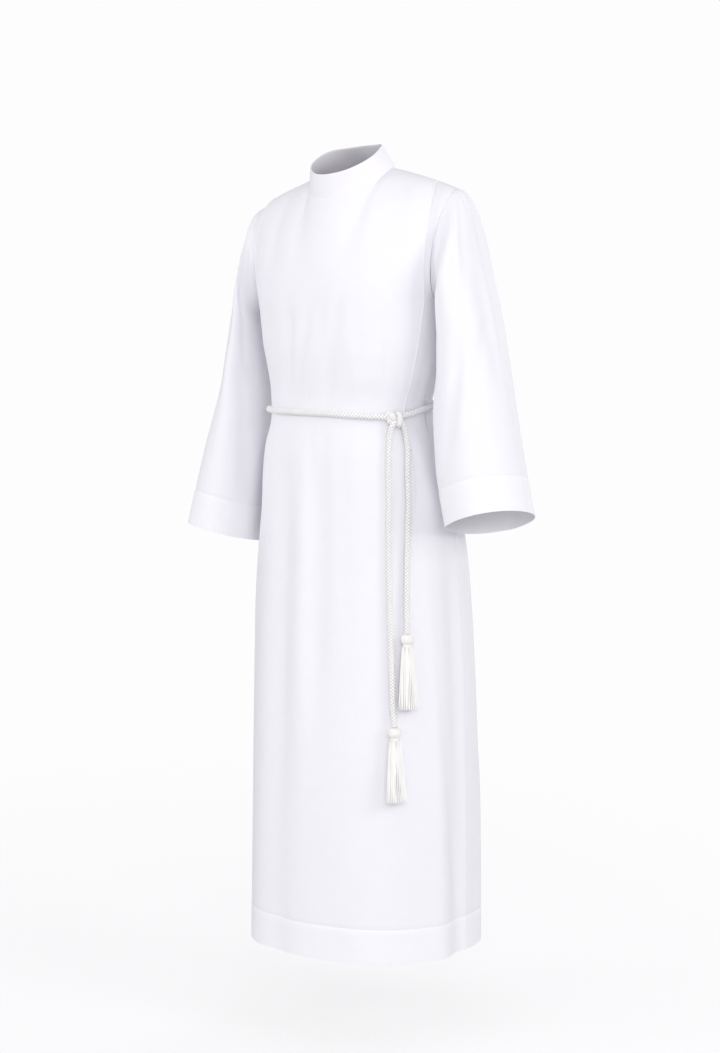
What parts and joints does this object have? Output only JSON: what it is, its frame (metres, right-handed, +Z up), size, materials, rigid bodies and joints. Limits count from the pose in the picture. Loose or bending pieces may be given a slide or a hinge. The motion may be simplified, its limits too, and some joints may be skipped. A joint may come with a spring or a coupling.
{
  "type": "alb robe",
  "caption": "Floor-length white alb in its worn form, with bell sleeves, a stand collar, pressed shoulder pleats and a knotted rope cincture with tassels",
  "frame": {"origin": "the centre of the neck at the height of the shoulders, inside the neckline, where the wearer's shoulders carry the robe", "axes": "+Z up, -Y the way the front of the robe faces, +X towards the wearer's left"},
  "size_m": [0.7012, 0.3752, 1.5028],
  "materials": {
    "robe_cloth": "smooth white poly-cotton, pressed",
    "collar_cloth": "the same cloth, doubled and stiffened",
    "rope_cotton": "braided white cotton rope",
    "tassel_cotton": "loose white cotton cord"
  },
  "bodies": {
    "root": {"front": "robe_cloth", "front_side_left": "robe_cloth", "front_side_right": "robe_cloth", "back_left": "robe_cloth", "back_right": "robe_cloth", "sleeve_left": "robe_cloth", "sleeve_right": "robe_cloth", "collar_band": "collar_cloth", "belt_loop": "rope_cotton", "belt_knot": "rope_cotton", "rope_tail_left": "rope_cotton", "rope_tail_right": "rope_cotton", "tassel_left": "tassel_cotton", "tassel_right": "tassel_cotton"}
  },
  "joints": []
}
